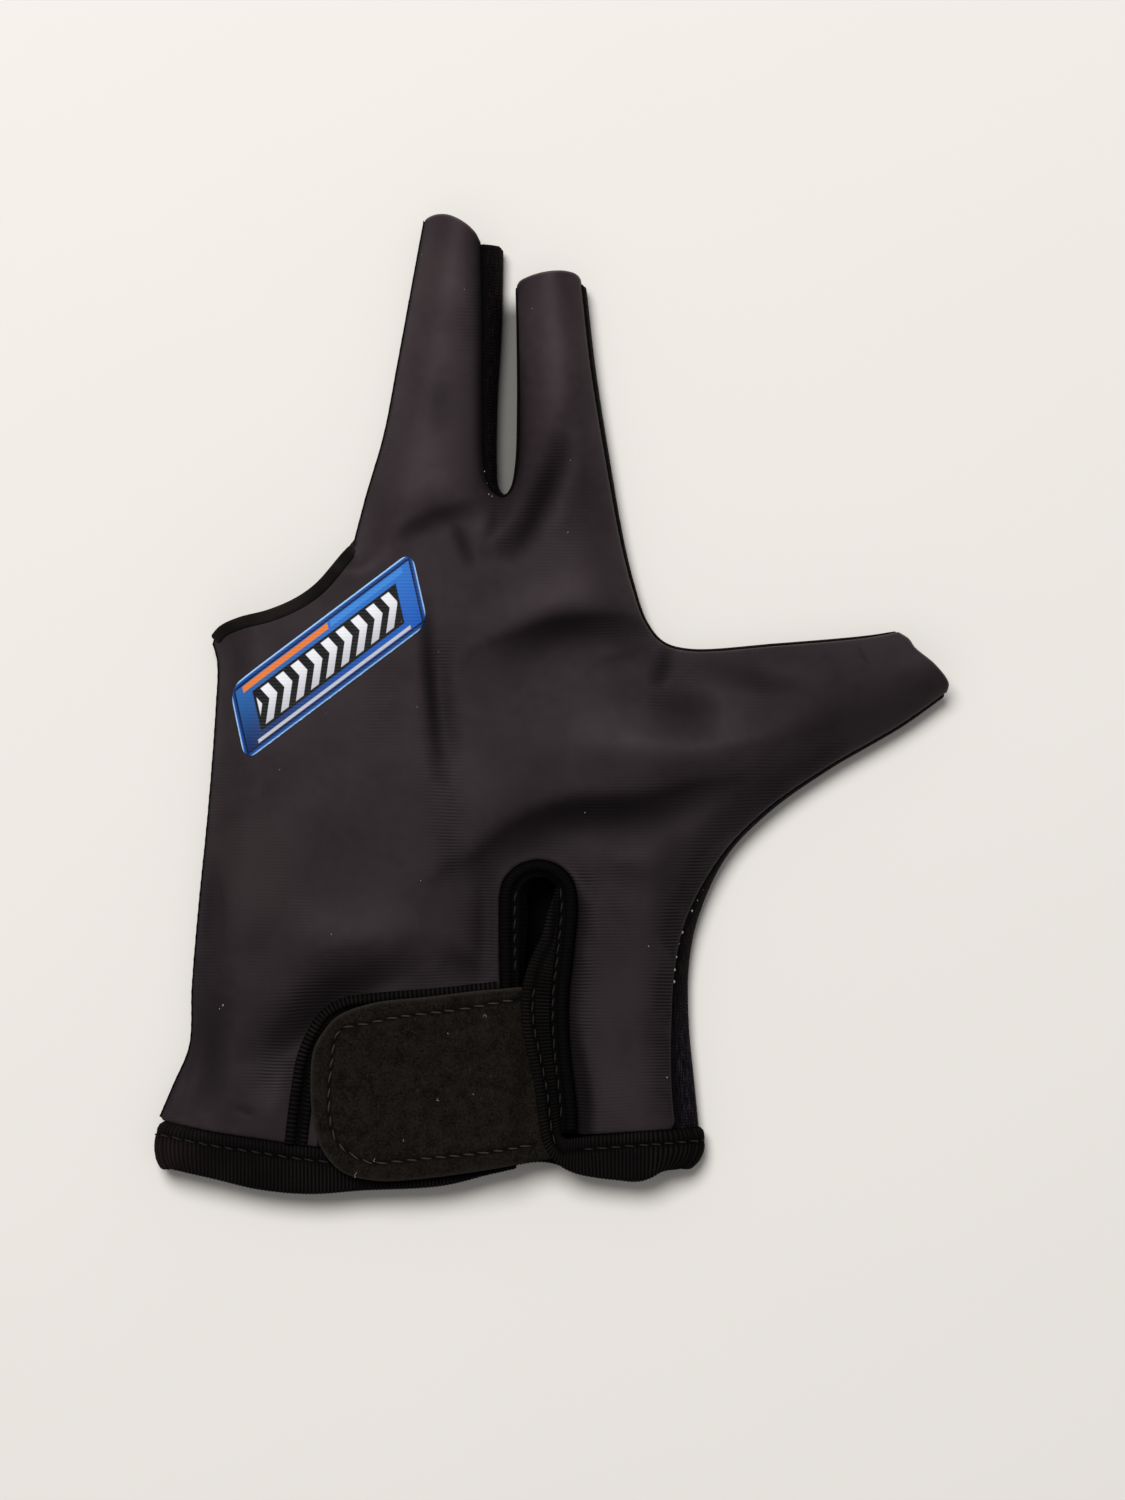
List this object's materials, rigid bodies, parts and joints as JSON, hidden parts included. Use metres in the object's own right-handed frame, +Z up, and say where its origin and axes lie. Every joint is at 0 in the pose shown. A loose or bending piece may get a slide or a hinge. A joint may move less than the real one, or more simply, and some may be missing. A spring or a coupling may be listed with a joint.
{
  "type": "billiard glove",
  "caption": "Left-hand billiard glove for thumb, index and middle finger, with a slit cuff, a rounded closure tab and mesh gussets, lying palm down.",
  "frame": {"origin": "on the table under the middle of the glove's outline", "axes": "+Y from the wrist to the fingertips, +X to the thumb's side, +Z up out of the back of the hand"},
  "size_m": [0.1745, 0.2146, 0.0143],
  "materials": {
    "stretch_cloth": "satin stretch cloth with fine ribs",
    "mesh_cloth": "matte knitted mesh",
    "ribbed_tape": "matte ribbed tape",
    "loop_pile": "matte loop pile",
    "felt": "matte felt with lint",
    "printed_film": "satin heat-pressed print"
  },
  "bodies": {
    "root": {"back_panel": "stretch_cloth", "palm_panel": "stretch_cloth", "finger_gusset": "mesh_cloth", "web_gusset": "mesh_cloth", "thumb_gusset": "mesh_cloth", "ring_opening_tape": "ribbed_tape", "cuff_tape": "ribbed_tape", "slit_tape": "ribbed_tape", "patch_tape": "ribbed_tape", "loop_patch": "loop_pile", "closure_tab": "felt", "printed_badge": "printed_film"}
  },
  "joints": []
}
